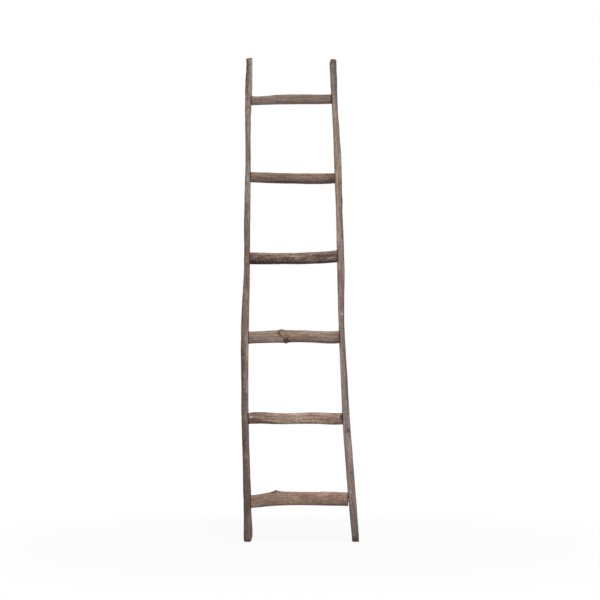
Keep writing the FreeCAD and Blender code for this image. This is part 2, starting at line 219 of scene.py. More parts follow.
# Peeled, weathered wood. The grain is read from grainPos: x runs along the branch, y and z go round it.
def weatheredWood(piece, spec, first, last):
    material, sock = newMaterial(piece + "Wood")
    grain = sock.node("Attribute", out="Vector", attribute_name="grainPos")
    shades = branchPaints | {name: spec[name] for name in ownPaints}
    paints = {name: paint(*shade) for name, shade in shades.items()}

    def noise(kind, longFine=1, roundFine=1):
        along, around, detail, shift, rough = grainNoise[kind]
        place = grain.vector("MULTIPLY", (along * longFine, around * roundFine, around * roundFine))
        return place.noise(spec["seed"] + shift, detail, rough)

    def lay(share, shade):
        nonlocal colour
        colour = sock.mix(share, colour, paints[shade])

    kinds = ("patch", "blush", "mottle", "freckle", "fibre", "slit", "speck", "check")
    patch, blush, mottle, freckle, fibre, slit, speck, check = map(noise, kinds)
    band = noise("band", 1, spec["fine"])
    line = noise("line", spec["fine"], spec["fine"])
    marks = ("relief", "crack", "knot", "creaseAndShade", "sawn", "jointShade", "rust", "wornAndLit", "stainAndShade", "weather")
    fields = (sock.node("Attribute", out="Fac", attribute_name=mark) for mark in marks)
    relief, crack, knot, creaseAndShade, sawn, joint, rust, wornAndLit, stainAndShade, weather = fields

    # Grey and brown patches with a reddish blush
    colour = sock.mix(patch.fade(0.38, 0.62), paints["grey"], paints["brown"])
    blushFrom = 0.62 - 0.22 * spec["blush"]
    lay(blush.fade(blushFrom, blushFrom + 0.12) * 0.8, "warm")

    # Dark and pale along the grain, then crests worn pale and furrows that hold dirt
    for value, low, high, strength, shade in (
        (band, 0.52, 0.68, spec["band"], "dark"), (band, 0.48, 0.32, spec["band"], "pale"),
        (line, 0.52, 0.61, spec["line"], "dark"), (line, 0.48, 0.39, 0.8 * spec["line"], "pale"),
        (freckle, 0.5, 0.64, 0.5, "warm"),
        (mottle, 0.53, 0.65, spec["mottle"], "dark"), (mottle, 0.47, 0.35, spec["mottle"], "pale"),
        (fibre, 0.52, 0.62, 0.5, "dark"), (fibre, 0.48, 0.38, 0.5, "pale"),
        (speck, 0.66, 0.76, 0.35, "dark"),
        (relief, 0.58, 0.9, 0.4, "pale"), (relief, 0.44, 0.12, spec["dirt"], "dark"),
    ):
        lay(value.fade(low, high) * strength, shade)

    # Knots: uneven rings round a dark heart
    ragged = (fibre - 0.5) * 0.9 + (speck - 0.5) * 0.5  # breaks the edges of what follows
    spotty = mottle - 0.5
    knotRing = (knot * 13 + line * 9).sine()
    lay(knot.fade(0.1, 0.8) * 0.5, "dark")
    lay(knotRing.fade(0.1, 0.9) * knot.fade(0.15, 0.6) * 0.35, "deep")
    heartAt = knot + ragged * 0.7 + spotty * 0.7 + (line - 0.5) * 0.5
    heart = heartAt.fade(0.45, 0.65) * (1 - heartAt.fade(0.75, 1.0) * 0.4)

    # Sawn ends: growth rings and splits out from the heart, grey with dirt
    section = grain.vector("MULTIPLY", (0, 1, 1))
    fromHeart = section.vector("LENGTH", out=1)
    ringLine = (fromHeart * 5200 + patch * 9 + line * 4).sine().fade(0.1, 0.95)
    spokes = section.vector("NORMALIZE").vector("MULTIPLY", (0, 1.2, 1.2))
    spoke = spokes.walls(spec["seed"]) * fromHeart * 69  # the same width from the heart to the rim
    spoke = (spoke + spotty * 0.12 + (fibre - 0.5) * 0.03).fade(0.045, 0.012)
    lay(sawn * 0.6, "grey")
    lay(sawn * ringLine * (mottle.fade(0.3, 0.6) * 0.4 + 0.1), "dark")
    lay(sawn * spoke * 0.85, "deep")
    lay(sawn * speck.fade(0.45, 0.7) * 0.4, "deep")

    # Tone from end to end, darker on surfaces that face up, painted shade on one side, stains with painted
    # shade and painted light
    length = last - first
    alongShare = sock.node("SeparateXYZ", {0: grain}) * (1 / length) + -first / length
    stops = [(place, (*tone, 1)) for place, *tone in spec["tones"]]
    tone = sock.node("ValToRGB", {0: alongShare + (patch - 0.5) * 0.12}, stops=stops)
    colour = sock.mix(1, colour, tone, "MULTIPLY")
    upward = sock.node("NewGeometry", out="Normal").vector("DOT_PRODUCT", (0, 0, 1), 1)
    # darker on surfaces that face up
    facingUp = (upward + spotty * 0.5).fade(0.5, 0.9) * (1 - sawn)
    lay(facingUp * spec["topDirt"], "dark")
    # painted shade on the side turned from the light, broken up by the grain
    lay(weather * ((band - 0.5) * 1.3 + spotty * 1.3 + 1), "dark")
    blotch = spotty * 2 + (line - 0.5) + ragged
    # stains, partly painted shade on the sides turned from the light
    lay((stainAndShade + blotch * stainAndShade).fade(0.1, 0.95), "stainAndShadePaint")

    # Slits, splits, creases sunk and painted with shade, the hearts of knots, then bare places and painted
    # light, painted shade in the joints, and rust
    slit = slit.fade(0.655, 0.7)
    split = (check + ragged * 0.05).fade(0.69, 0.735) * crack.fade(0.1, 0.5)
    lay(slit * 0.6, "deep")
    lay(split * 0.9, "pitch")
    # painted shade in the creases
    lay((creaseAndShade + ragged * creaseAndShade).fade(0.25, 0.85) * 0.75, "deep")
    lay(heart * 0.88, "pitch")
    lay(heart * knotRing.fade(0.2, 1) * speck.fade(0.4, 0.6) * 0.6, "brown")
    # bare wear, and painted light where a stain's strength is below 0
    lay(wornAndLit * (0.45 + line * 0.6) * (1 - blotch * 0.9), "bare")
    # painted shade in the joints and at the rail ends
    lay((joint + blotch * joint).fade(0.12, 0.95) * 0.85, "deep")
    lay((rust + blotch * rust).fade(0.1, 0.9) * 0.8, "rust")

    rough = 0.8 + (fibre - 0.5) * 0.25 + split * 0.1 - relief.fade(0.6, 1) * 0.1
    height = line * 1.3 + fibre * 0.5 + speck * 0.2 - slit * 0.6 - split * 0.6
    height = height - sawn * spoke * 0.8 + knotRing * knot * 0.35
    bump = sock.node("Bump", {"Strength": 0.6, "Distance": 0.0014, "Height": height})
    sock.dress({"Base Color": colour, "Roughness": rough, "Normal": bump, "Specular IOR Level": 0.28})
    return material


# A new tree, the ids of its inputs and a socket for each
def newTree(name, sizes):
    tree = bpy.data.node_groups.new(name, "GeometryNodeTree")
    kinds = {"Geometry": "Geometry"} | dict.fromkeys(sizes, "Float") | {"Material": "Material"}
    ids = {}
    for key, kind in kinds.items():
        made = tree.interface.new_socket(key, in_out="INPUT", socket_type="NodeSocket" + kind)
        ids[key] = made.identifier
    tree.interface.new_socket("Geometry", in_out="OUTPUT", socket_type="NodeSocketGeometry")
    group = Sock(tree).node("NodeGroupInput").socket.node
    return tree, ids, SimpleNamespace(**{key: Sock(tree, group.outputs[key]) for key in kinds})


def closeTree(given, shape):
    inputs = {"Geometry": shape, "Material": given.Material}
    shape.node("NodeGroupOutput", {0: shape.node("GeometryNodeSetMaterial", inputs)})


branchSizes = ("Swell", "Ridge", "Ridges", "Furrow", "Split", "Seed")  # Ridges: how many to the metre


# Tree that weathers a plain branch: slow swells, ridges and furrows along the grain, splits
def weatheringTree():
    tree, ids, given = newTree("weatheredBranch", branchSizes)
    sock = Sock(tree)

    def attribute(name, kind="FLOAT"):
        return sock.node("GeometryNodeInputNamedAttribute", {"Name": name}, data_type=kind)

    grain = attribute("grainPos", "FLOAT_VECTOR")

    def stretched(along, around):
        return grain.vector("MULTIPLY", sock.joined(X=along, Y=around, Z=around))

    def noise(along, around, detail, shift, out=0):
        return stretched(along, around).noise(given.Seed + shift, detail, 0.5, out)

    swell = noise(9, 34, 2, 0) - 0.5
    ridge = noise(13, given.Ridges, 3, 11) - 0.5
    bend = noise(22, 60, 2, 23, 1).vector("SUBTRACT", (0.5, 0.5, 0.5)).scaled(0.35)
    cells = stretched(5, given.Ridges * 0.72).vector("ADD", bend)  # long ones, whose walls are the furrows
    furrow = cells.walls(given.Seed + 23).fade(0.24, 0) * noise(9, 30, 1, 31).fade(0.38, 0.6)
    check = noise(*grainNoise["check"][:4])  # pointed at both ends
    split = check.fade(0.66, 0.76) * attribute("open")
    rough = attribute("growth") * 1.6 + 1
    calm = 1 - attribute("calm")
    height = swell * given.Swell * 2 + ridge * given.Ridge * 2 * rough
    height = (height - furrow * given.Furrow * rough - split * given.Split) * calm
    offset = sock.node("GeometryNodeInputNormal").scaled(height)
    moved = sock.node("GeometryNodeSetPosition", {"Geometry": given.Geometry, "Offset": offset})
    kept = {
        "relief": ridge * 1.5 + swell * 0.4 + 0.5 - furrow * 0.45,
        "crack": split * calm * given.Split * 1100,
    }
    for name, value in kept.items():
        stored = {"Geometry": moved, "Name": name, "Value": value}
        moved = sock.node("GeometryNodeStoreNamedAttribute", stored, data_type="FLOAT", domain="POINT")
    closeTree(given, sock.node("GeometryNodeRealizeInstances", {"Geometry": moved}))
    return tree, ids


# Runs a tree on a piece and leaves a plain mesh
def settle(piece, tree, values):
    modifier = piece.modifiers.new(tree.name, "NODES")
    modifier.node_group = tree
    for identifier, value in values.items():
        modifier[identifier] = value
    graph = bpy.context.evaluated_depsgraph_get()
    shaped = piece.evaluated_get(graph)
    plain = bpy.data.meshes.new_from_object(shaped, preserve_all_data_layers=True, depsgraph=graph)
    piece.modifiers.clear()
    first, piece.data = piece.data, plain
    bpy.data.meshes.remove(first)
    plain.name = piece.name


def soften(value, low, high):
    share = np.clip((value - low) / (high - low), 0, 1)
    return share * share * (3 - 2 * share)


# The nails of either rail, and the side that they are driven in from
nailRows = {
    "left_rail": {"node": "left_nails", "piece": "leftNails", "outward": -1, "seed": 5},
    "right_rail": {"node": "right_nails", "piece": "rightNails", "outward": 1, "seed": 9},
}


# The middles of the nail heads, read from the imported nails, lowest first
def headPlaces(node, outward, nailGap=0.003):
    points = np.array([v.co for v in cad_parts[node].data.vertices])
    points = points[np.argsort(points[:, 2])]
    groups = np.split(points, np.nonzero(np.diff(points[:, 2]) > nailGap)[0] + 1)
    tops = [outward * (group[:, 0] * outward).max() for group in groups]
    middles = [(group.min(0) + group.max(0)) / 2 for group in groups]
    return [(top, *middle[1:]) for top, middle in zip(tops, middles)]


heads, jointLevels = {}, {}
for rail, row in nailRows.items():
    heads[rail] = headPlaces(row["node"], row["outward"])
    pairs = zip(heads[rail][::2], heads[rail][1::2])
    jointLevels[rail] = [(lower[2] + upper[2]) / 2 for lower, upper in pairs]
print("nails found:", {rail: len(found) for rail, found in heads.items()})

axes = {  # along, towards the front, and to the right or up
    "up": (Vector((0, 0, 1)), Vector((0, -1, 0)), Vector((1, 0, 0))),
    "across": (Vector((1, 0, 0)), Vector((0, -1, 0)), Vector((0, 0, 1))),
}


# Slope of the rings at a level: they lean over to meet a slanting cut
def slopeOf(cuts, level, angle, endBlend=0.045):
    total = 0
    for at, forward, right in cuts:
        near = 1 - soften(np.abs(level - at), 0, endBlend)
        total = total + near * (forward * np.cos(angle) + right * np.sin(angle))
    return total


# Reads a packed branch: its middle line, its radius all round, and how its ends are cut
def readBranch(spec):
    tree = BVHTree.FromObject(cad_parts[spec["node"]], bpy.context.evaluated_depsgraph_get())
    along, front, side = axes[spec["runs"]]
    low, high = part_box(spec["node"])
    middle = (low + high) / 2
    outside, far, endReach = 0.05, 0.09, 0.02  # how far off rays start, and how much counts as an end
    reach = (high - low).dot(side) / 2 + outside

    def across(point, ray):  # halfway through the wood
        first, last = (tree.ray_cast(point - way * reach, way)[0] for way in (ray, -ray))
        return None if first is None or last is None else (first + last) / 2

    def heartAt(level):
        point = across(middle + along * (level - middle.dot(along)), side)
        return point and across(point, front)

    def cutAt(level, sign, step=0.004):  # level of a sawn end and its slopes to the front and side
        heart = heartAt(level - sign * endReach)
        heart = heart - along * heart.dot(along)

        def end(forward, right):
            point = heart + front * forward + side * right + along * (level + sign * outside)
            return tree.ray_cast(point, along * -sign)[0].dot(along)

        forward, right = end(step, 0) - end(-step, 0), end(0, step) - end(0, -step)
        return end(0, 0), forward / step / 2, right / step / 2

    # Rows close together at the ends, and none at the joints, where a rail has its seats
    cuts = cutAt(low.dot(along), -1), cutAt(high.dot(along), 1)
    first, last = cuts[0][0], cuts[1][0]
    endRows, gap, jointBand, clearOfEnd = 12, 0.022, 0.034, 0.012
    levels = np.concatenate([
        np.linspace(first, first + endReach, endRows),
        np.arange(first + gap, last - gap, spec["readStep"]),
        np.linspace(last - endReach, last, endRows),
    ])
    for level in jointLevels.get(spec["node"], []):
        levels = levels[np.abs(levels - level) > jointBand]

    # The middle line, taken clear of any growth and of the very ends
    clear = (levels > first + clearOfEnd) & (levels < last - clearOfEnd)
    for place, reachOut in spec["growth"]:
        clear &= np.abs(levels - place) > reachOut
    hearts = [(level, heartAt(level)) for level in levels[clear]]
    line = np.array([(level, heart.dot(front), heart.dot(side)) for level, heart in hearts if heart])

    # The radius at each level and angle. A ray that misses is filled in from its neighbours along.
    angles = np.arange(spec["segments"]) * 2 * math.pi / spec["segments"]
    rays = [front * math.cos(angle) + side * math.sin(angle) for angle in angles]
    inEnd, leanRadius = 0.0003, 0.0125
    radii = np.full((len(levels), len(angles)), np.nan)
    for row, level in enumerate(levels):
        inner = min(max(level, first + inEnd), last - inEnd)
        forward, right = (np.interp(level, line[:, 0], line[:, column]) for column in (1, 2))
        heart = front * forward + side * right
        lifts = inner + slopeOf(cuts, level, angles) * leanRadius
        for column, ray in enumerate(rays):
            found = tree.ray_cast(heart + along * lifts[column] + ray * far, -ray, far)
            if found[0]:
                radii[row, column] = far - found[3]
    for column in range(len(angles)):
        good = ~np.isnan(radii[:, column])
        radii[:, column] = np.interp(levels, levels[good], radii[good, column])

    # Facets are smoothed, twice round, and once along but for the rows at the ends
    for turn in range(2):
        radii = (np.roll(radii, 1, 1) + 2 * radii + np.roll(radii, -1, 1)) / 4
    sharpRows = 14
    smooth = (radii[:-2] + 2 * radii[1:-1] + radii[2:]) / 4
    radii[sharpRows:-sharpRows] = smooth[sharpRows - 1:1 - sharpRows]
    return levels, line, radii, angles, cuts


# Where the rings go: closer at joints and growth, closest at the worn rims
def ringLevels(spec, first, last, jointReach=0.03, endReach=0.003, leastAtEnd=0.00012, leastShare=0.45):
    rimShares = np.array([0, 0.06, 0.18, 0.36, 0.62, 1.0, 1.5])
    close = [(level, jointReach) for level in jointLevels.get(spec["node"], [])] + spec["growth"]
    places = [np.arange(place - reach, place + reach, spec["fineStep"]) for place, reach in close]
    places += [np.arange(first, last, spec["step"])]
    places += [first + spec["rim"][0] * rimShares, last - spec["rim"][1] * rimShares]
    places = np.sort(np.concatenate(places))
    kept = [first]
    for place in places[(places >= first) & (places <= last)]:
        atEnd = min(place - first, last - place) < endReach
        if place - kept[-1] > (leastAtEnd if atEnd else leastShare * spec["fineStep"]):
            kept.append(place)
    kept[-1] = last
    return np.array(kept)


# A branch's skin: a radius at every level along and every angle round, and fields of shares for its marks
def startSkin(spec):
    levels, line, radii, angles, cuts = readBranch(spec)
    skin = SimpleNamespace(cuts=cuts, angles=angles, fields={})
    skin.axes = [np.array(axis) for axis in axes[spec["runs"]]]
    skin.first, skin.last = cuts[0][0], cuts[1][0] - spec["wornOff"]
    skin.levels = ringLevels(spec, skin.first, skin.last)
    skin.radius = np.stack([np.interp(skin.levels, levels, column) for column in radii.T], 1)
    skin.heart = [np.interp(skin.levels, line[:, 0], line[:, column])[:, None] for column in (1, 2)]
    skin.angle = np.broadcast_to(angles, skin.radius.shape)
    skin.level = np.repeat(skin.levels[:, None], len(angles), 1)
    skin.blank = np.zeros_like(skin.radius)
    return skin


# A swollen ring that leans across the rung, with an uneven crease on either side, sunk and painted with
# shade
def addCollar(collar, skin, plain):
    angle, upShare = skin.angle, np.sin(skin.angle)
    wobble = 0.16 * np.sin(3 * angle + 1) + 0.1 * np.sin(7 * angle + 2)
    half = collar["half"] * (1 + collar["spread"] * upShare)
    off = (skin.level - collar["at"] - collar["lean"] * upShare) / half + wobble
    swollen = plain + collar["rise"] * (1 + 1.5 * wobble) * np.exp(-off ** 4)
    skin.radius = np.maximum(skin.radius, swollen)
    width = 0.2 + 0.06 * np.sin(2 * angle + 1.3) + 0.12 * (off < 0) * (1 + upShare)
    depth = np.where(off < 0, 0.34 + 0.24 * upShare, 0.55 - 0.25 * upShare) + 0.25 * np.sin(5 * angle + off)
    return np.exp(-((np.abs(off) - collar["creaseAt"]) / width) ** 2) * np.clip(depth, 0, 1)


# What stands out beyond the plain branch is growth, with a crease at its foot, sunk and painted with shade
def addGrowth(spec, skin, least=0.0004, footTo=0.0012, sawnFrom=0.0016, full=0.003):
    levels, plain = skin.levels, skin.radius.copy()
    for place, reachOut in spec["growth"]:
        away = np.abs(levels - place) > reachOut
        plain = np.stack([np.interp(levels, levels[away], column[away]) for column in plain.T], 1)
    creaseAndShade = addCollar(spec["collar"], skin, plain) if spec["collar"] else skin.blank
    stand = np.clip(skin.radius - plain, 0, None)
    slope = np.abs(np.gradient(stand, levels, axis=0))
    creaseAndShade = np.maximum(creaseAndShade, soften(slope, 0.2, 0.6) * (1 - soften(stand, footTo, full)) * 0.8)
    skin.radius = skin.radius - creaseAndShade * spec["creaseDepth"]
    sawn = soften(stand, sawnFrom, full) * spec["sawnGrowth"]
    skin.fields |= {"creaseAndShade": creaseAndShade, "growth": soften(stand, least, full), "sawn": sawn}


def turnFrom(skin, degrees):  # how far round from an angle, either way
    return (skin.angle - math.radians(degrees) + math.pi) % (2 * math.pi) - math.pi


# Distance from a knot, 1 at its rim. Knots are longer along the grain, with an uneven outline.
def awayFrom(skin, place, degrees, size, longShare=1.45):
    turn = turnFrom(skin, degrees)
    longWay, off = (skin.level - place) / longShare, turn * skin.radius
    bearing = np.arctan2(off, longWay)
    lobes = 1 + 0.17 * np.sin(3 * bearing + 90 * place) + 0.1 * np.sin(5 * bearing + degrees)
    return turn, np.hypot(longWay, off) / size / lobes


# Knots: a low swelling with a sunk heart, which the grain flows round. Nubs: worn, pale bumps.
def addKnots(spec, skin):
    knot = wornAndLit = skin.blank
    skin.grainAngle = skin.angle.copy()
    for place, degrees, size, rise, sink, dark in spec["knots"]:
        turn, away = awayFrom(skin, place, degrees, size)
        skin.radius = skin.radius + rise * np.exp(-0.55 * away ** 2) - sink * np.exp(-((away / 0.42) ** 2))
        skin.grainAngle = skin.grainAngle - turn * 0.8 * np.exp(-0.45 * away ** 2)
        knot = np.maximum(knot, np.exp(-((away / 0.95) ** 3)) * dark)
    for place, degrees, size, rise, pale in spec["nubs"]:
        away = awayFrom(skin, place, degrees, size)[1]
        skin.radius = skin.radius + rise * np.exp(-0.8 * away ** 2)
        wornAndLit = np.maximum(wornAndLit, pale * np.exp(-((away / 0.8) ** 2)))
    skin.fields |= {"knot": knot, "wornAndLit": wornAndLit}


# Stains with painted shade and painted light, painted shade on one side, and where splits open
def addStainsAndShade(spec, skin):
    stainAndShade, wornAndLit = skin.blank, skin.fields["wornAndLit"]
    for place, reachOut, degrees, width, strength in spec["stains"]:
        roundShare = turnFrom(skin, degrees) / math.radians(width)
        spot = np.exp(-((skin.level - place) / reachOut) ** 4 - roundShare ** 4) * strength
        # below 0 a stain lays painted light with the wear
        stainAndShade, wornAndLit = np.maximum(stainAndShade, spot), np.maximum(wornAndLit, -spot)

    # Painted shade on one side: darkest a little round from the front, easing off to the back
    turn = (np.degrees(skin.angle) * spec["weatherSide"] + 90) % 360 - 90
    weather = soften(turn, -65, 65) * (1 - 0.65 * soften(turn, 82, 128)) * (1 - soften(turn, 190, 270))
    weather = weather * np.interp(skin.level, *zip(*spec["weather"]))

    # Few of the splits open towards the front
    fromFront = np.abs((np.degrees(skin.angle) + 180) % 360 - 180)
    opened = spec["frontSplits"] + (1 - spec["frontSplits"]) * soften(fromFront, 60, 110)
    skin.fields |= {"stainAndShade": stainAndShade, "wornAndLit": wornAndLit, "weather": weather, "open": opened}


# Worn rims at the sawn ends, then the points and their places in the grain
def placePoints(spec, skin, grainRadius=0.0145):
    along, front, side = skin.axes
    for at, rim in zip((skin.first, skin.last), spec["rim"]):
        inward = np.clip(1 - np.abs(skin.level - at) / rim, 0, 1)
        skin.radius = skin.radius - rim * (1 - np.sqrt(1 - inward ** 2))
    level = skin.level + slopeOf(skin.cuts, skin.level, skin.angle) * skin.radius
    forward = skin.radius * np.cos(skin.angle) + skin.heart[0]
    sideways = skin.radius * np.sin(skin.angle) + skin.heart[1]
    skin.points = level[..., None] * along + forward[..., None] * front + sideways[..., None] * side
    turned = skin.grainAngle + spec["twist"] * level
    skin.grain = np.stack([level, grainRadius * np.cos(turned), grainRadius * np.sin(turned)], -1)


# Dimples that the nails were driven into, with rust run down below them. Dimples and ends stay calm.
def addNailMarks(
    spec, skin, calmEnd=(0.001, 0.007), headReach=0.0046, dimple=0.0082, proud=0.0013, outerFrom=0.002,
    rustRing=(0.0042, 0.0072), dripWidth=0.0026, dripLength=0.022, dripShare=0.7,
):
    points = skin.points
    fromEnd = np.minimum(skin.levels - skin.first, skin.last - skin.levels)
    calm = 1 - soften(fromEnd, *calmEnd)[:, None] * np.ones(len(skin.angles))
    rust = skin.blank
    for headX, headY, headZ in heads.get(spec["node"], []):
        outward = nailRows[spec["node"]]["outward"]
        outer = (points[..., 0] - skin.heart[1]) * outward > outerFrom
        beside, below = points[..., 1] - headY, headZ - points[..., 2]
        away = np.hypot(beside, below)
        share = (1 - soften(away, headReach, dimple)) * outer
        points[..., 0] += (headX - outward * proud - points[..., 0]) * share
        calm = np.maximum(calm, share)
        drip = np.exp(-(beside / dripWidth) ** 2) * np.exp(-below / dripLength) * (below > 0) * dripShare
        rust = np.maximum(rust, np.maximum(1 - soften(away, *rustRing), drip) * outer)
    skin.fields |= {"calm": calm, "rust": rust}


# Painted shade where rung and rail meet, and at the ends of the rails
def addJointShade(spec, skin, halfTall=0.019, halfDeep=0.012, reach=0.0016, innerFrom=0.006, seat=0.0008):
    joint = skin.blank
    ends = skin.levels[:, None] - skin.first, skin.last - skin.levels[:, None]
    if spec["runs"] == "across":
        for inward, reachIn in zip(ends, spec["jointDirt"]):
            joint = np.maximum(joint, np.exp(-(np.clip(inward - seat, 0, None) / reachIn) ** 2))
    else:
        acrossX, deepY, upZ = np.moveaxis(skin.points, -1, 0)
        inner = (skin.heart[1] - acrossX) * nailRows[spec["node"]]["outward"] > innerFrom
        for at in jointLevels[spec["node"]]:
            out = np.maximum(np.abs(upZ - at) - halfTall, np.abs(deepY) - halfDeep)
            # painted shade round the seat of each rung
            dirt = np.exp(-((np.clip(out, 0, None) / reach) ** 2)) * inner
            joint = np.maximum(joint, dirt * spec["jointDirt"])
        for inward, (reachIn, share) in zip(ends, spec["endDirt"]):
            joint = np.maximum(joint, np.exp(-(inward / reachIn) ** 2) * share)
    skin.fields["jointShade"] = joint


# Joins up the rings, then closes the sawn ends with loops in to the middle, a little dished. On the map the
# branch is cut into strips side by side, with the sawn ends above them.
def branchMesh(spec, skin, loopShares=(0.9, 0.76, 0.6, 0.44, 0.28, 0.12), dish=0.0004, middleDish=0.0005):
    along, front, side = skin.axes
    levels = skin.levels
    rings, count = skin.radius.shape
    around = np.arange(count)
    nextOne = (around + 1) % count
    flip = np.dot(np.cross(front, side), along) < 0
    vertices, grains = [skin.points.reshape(-1, 3)], [skin.grain.reshape(-1, 3)]
    faces, corners = [], []

    def addFaces(points, spots, turnOver):
        points, spots = np.stack(points, 1), np.stack(spots, 1)
        faces.extend((points[:, ::-1] if turnOver else points).tolist())
        corners.append((spots[:, ::-1] if turnOver else spots).reshape(-1, 2))

    def addStrip(lower, upper, turnOver, low, high):
        points = [lower[around], lower[nextOne], upper[nextOne], upper[around]]
        addFaces(points, [low[:-1], low[1:], high[1:], high[:-1]], turnOver)

    index = np.arange(rings * count).reshape(rings, count)
    strips, gap, tall, endSize, endSpots = spec["strips"], 0.006, 0.93, 0.03, ((0.05, 0.965), (0.15, 0.965))
    alongShare = (levels[:-1] - skin.first) / (skin.last - skin.first)
    stripOf = np.minimum(alongShare * strips, strips - 1).astype(int)
    acrossStrip = gap + np.linspace(0, 1, count + 1) * (1 - 2 * gap)
    for ring in range(rings - 1):
        own = np.nonzero(stripOf == stripOf[ring])[0]
        low, high = levels[own[0]], levels[own[-1] + 1]
        upStrip = gap + (levels[ring:ring + 2] - low) / (high - low) * (tall - 2 * gap)
        sideways = (stripOf[ring] + acrossStrip) / strips
        rows = [np.stack([sideways, np.full(count + 1, up)], 1) for up in upStrip]
        addStrip(index[ring], index[ring + 1], flip, *rows)

    closed = np.append(skin.angles, 2 * math.pi)
    disc = np.stack([np.cos(closed), np.sin(closed)], 1) * endSize
    used = rings * count
    for row, sign, spot in zip((0, -1), (-1, 1), endSpots):
        rim, rimGrain = skin.points[row], skin.grain[row]
        middle, heartGrain = rim.mean(0), np.array([rimGrain[:, 0].mean(), 0, 0])
        before, beforeMap = index[row], disc + spot
        turnOver = flip if sign > 0 else not flip
        for share in loopShares:
            depth = dish * (1 - share) * (1 + 0.6 * np.sin(3.1 * share + 2 * skin.angles))
            vertices.append(middle + (rim - middle) * share - along * sign * depth[:, None])
            grains.append(heartGrain + (rimGrain - heartGrain) * share)
            now, nowMap = used + around, disc * share + spot
            addStrip(before, now, turnOver, beforeMap, nowMap)
            before, beforeMap, used = now, nowMap, used + count
        vertices.append((middle - along * sign * middleDish)[None])
        grains.append(heartGrain[None])
        points = [before[around], before[nextOne], np.full(count, used)]
        addFaces(points, [beforeMap[:-1], beforeMap[1:], np.broadcast_to(spot, (count, 2))], turnOver)
        used += 1

    # The sawn ends are sawn and calm, and have no other marks
    fields = {}
    for name, value in skin.fields.items():
        fill = 1.0 if name in ("calm", "sawn") else 0.0
        fields[name] = np.append(value.reshape(-1), np.full(used - rings * count, fill))
    fields["sawn"][index[[0, -1]]] = 0.6

    mesh = bpy.data.meshes.new(spec["node"])
    mesh.from_pydata(np.concatenate(vertices).tolist(), [], faces)
    grainPos = mesh.attributes.new("grainPos", "FLOAT_VECTOR", "POINT")
    grainPos.data.foreach_set("vector", np.concatenate(grains).astype(np.float32).ravel())
    for name, value in fields.items():
        stored = mesh.attributes.new(name, "FLOAT", "POINT")
        stored.data.foreach_set("value", value.astype(np.float32))
    paintMap = mesh.uv_layers.new(name="OFBake")  # the branch in strips with the sawn ends above
    paintMap.data.foreach_set("uv", np.concatenate(corners).astype(np.float32).ravel())
    mesh.polygons.foreach_set("use_smooth", np.ones(len(faces), bool))
    mesh.update()
    return mesh


branchTree, branchIds = weatheringTree()


def makeBranch(name, spec):
    skin = startSkin(spec)
    for addMarks in (addGrowth, addKnots, addStainsAndShade, placePoints, addNailMarks, addJointShade):
        addMarks(spec, skin)
    piece = addPiece(name, branchMesh(spec, skin))
    values = {branchIds[size]: float(spec[size.lower()]) for size in branchSizes}
    values[branchIds["Material"]] = weatheredWood(name, spec, skin.first, skin.last)
    settle(piece, branchTree, values)
    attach(piece, "root")
    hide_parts(spec["node"])
    print(name, "made:", len(skin.levels), "rings,", len(piece.data.polygons), "faces")


# Lengths are in metres, angles in degrees round from the front, towards a rail's right or a rung's top
# knots: place along, angle, size, rise (a hollow below 0), depth of the heart, darkness
# nubs: place along, angle, size, rise, paleness
# stains, with painted shade and painted light: place along, reach, angle, width to either side, strength
# (below 0 bleached, as wear and painted light)
# painted shade on one side: place along, how dark it is there
# tones: share of the way along, how much red, green and blue is left there
# growth: place along and reach of what stands out; fine: how much finer than usual the streaks are
branchCut = {
    "growth": [], "collar": None, "creaseDepth": 0, "sawnGrowth": 0, "nubs": [], "wornOff": 0,
    "fine": 1, "ridges": 170, "frontSplits": 0.15, "weatherSide": -1,
}
railCut = branchCut | {
    "runs": "up", "slot": "rail_wood", "segments": 80, "strips": 4,
    "readStep": 0.005, "step": 0.0026, "fineStep": 0.0014,
    "swell": 0.0016, "ridge": 0.001, "furrow": 0.0009, "split": 0.0013,
    "jointDirt": 0.35, "endDirt": [(0.011, 0.85), (0.005, 0.75)],
}
rungCut = branchCut | {
    "runs": "across", "slot": "rung_wood", "segments": 128, "strips": 2,
    "readStep": 0.002, "step": 0.0017, "fineStep": 0.0009,
    "swell": 0.0013, "ridge": 0.0007, "furrow": 0.0006, "split": 0.0009,
    "rim": (0.0012, 0.0012), "jointDirt": (0.0017, 0.0028), "bare": (186, 168, 152),
}

